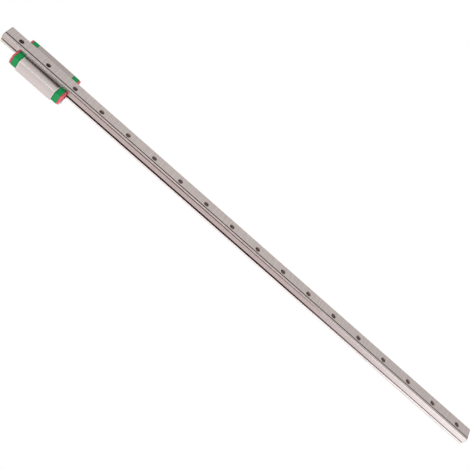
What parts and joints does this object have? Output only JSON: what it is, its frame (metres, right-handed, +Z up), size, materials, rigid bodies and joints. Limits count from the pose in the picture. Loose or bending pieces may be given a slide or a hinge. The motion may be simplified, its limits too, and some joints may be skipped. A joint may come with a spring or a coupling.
{
  "type": "miniature linear guide rail with carriage",
  "caption": "Slim ground steel guide rail with counterbored screw holes and side raceways, carrying a ball carriage with green end caps and red end seals that slides along it.",
  "frame": {"origin": "middle of the rail's underside", "axes": "+X along the rail, away from the end where the carriage rests; +Y across the rail, towards the side with the reference line; +Z up, from the rail's underside to the carriage's top"},
  "size_m": [0.45, 0.027, 0.013],
  "materials": {
    "rail_steel": "ground",
    "block_steel": "ground",
    "cap_plastic": "moulded",
    "seal_rubber": "moulded",
    "screw_steel": "plated",
    "ball_steel": "polished",
    "wire_steel": "drawn"
  },
  "bodies": {
    "rail": {"rail": "rail_steel"},
    "carriage": {"carriage_block": "block_steel", "end_cap_front": "cap_plastic", "end_cap_back": "cap_plastic", "end_seal_front": "seal_rubber", "end_seal_back": "seal_rubber", "end_screw_front_left": "screw_steel", "end_screw_front_right": "screw_steel", "end_screw_back_left": "screw_steel", "end_screw_back_right": "screw_steel", "balls_left": "ball_steel", "balls_right": "ball_steel", "retainer_wire_left": "wire_steel", "retainer_wire_right": "wire_steel"}
  },
  "joints": [
    {"name": "carriage_slide", "type": "slide", "parent": "rail", "child": "carriage", "axis": [1, 0, 0], "range_m": [-0.0148, 0.3887]}
  ]
}
